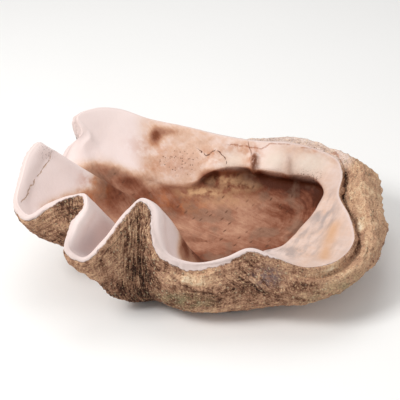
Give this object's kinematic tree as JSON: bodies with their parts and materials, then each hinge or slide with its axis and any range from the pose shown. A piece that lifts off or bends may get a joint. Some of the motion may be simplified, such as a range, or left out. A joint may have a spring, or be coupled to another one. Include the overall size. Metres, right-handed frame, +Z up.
{
  "type": "giant clam shell",
  "caption": "One large folded clam valve, hollow side up, with tall wavy margin folds, a broad inner shelf, a hinge plate and a flat worn underside to rest on.",
  "frame": {"origin": "middle of the underside, at the height the shell rests on", "axes": "+X along the length, from the tall folded end on the left to the smooth end by the umbo; +Y towards the hinge; +Z up, out of the hollow"},
  "size_m": [0.767, 0.511, 0.2811],
  "materials": {
    "shell": "matt aged shell, chalky outside and porcelain within"
  },
  "bodies": {
    "root": {"clam_valve": "shell"}
  },
  "joints": []
}
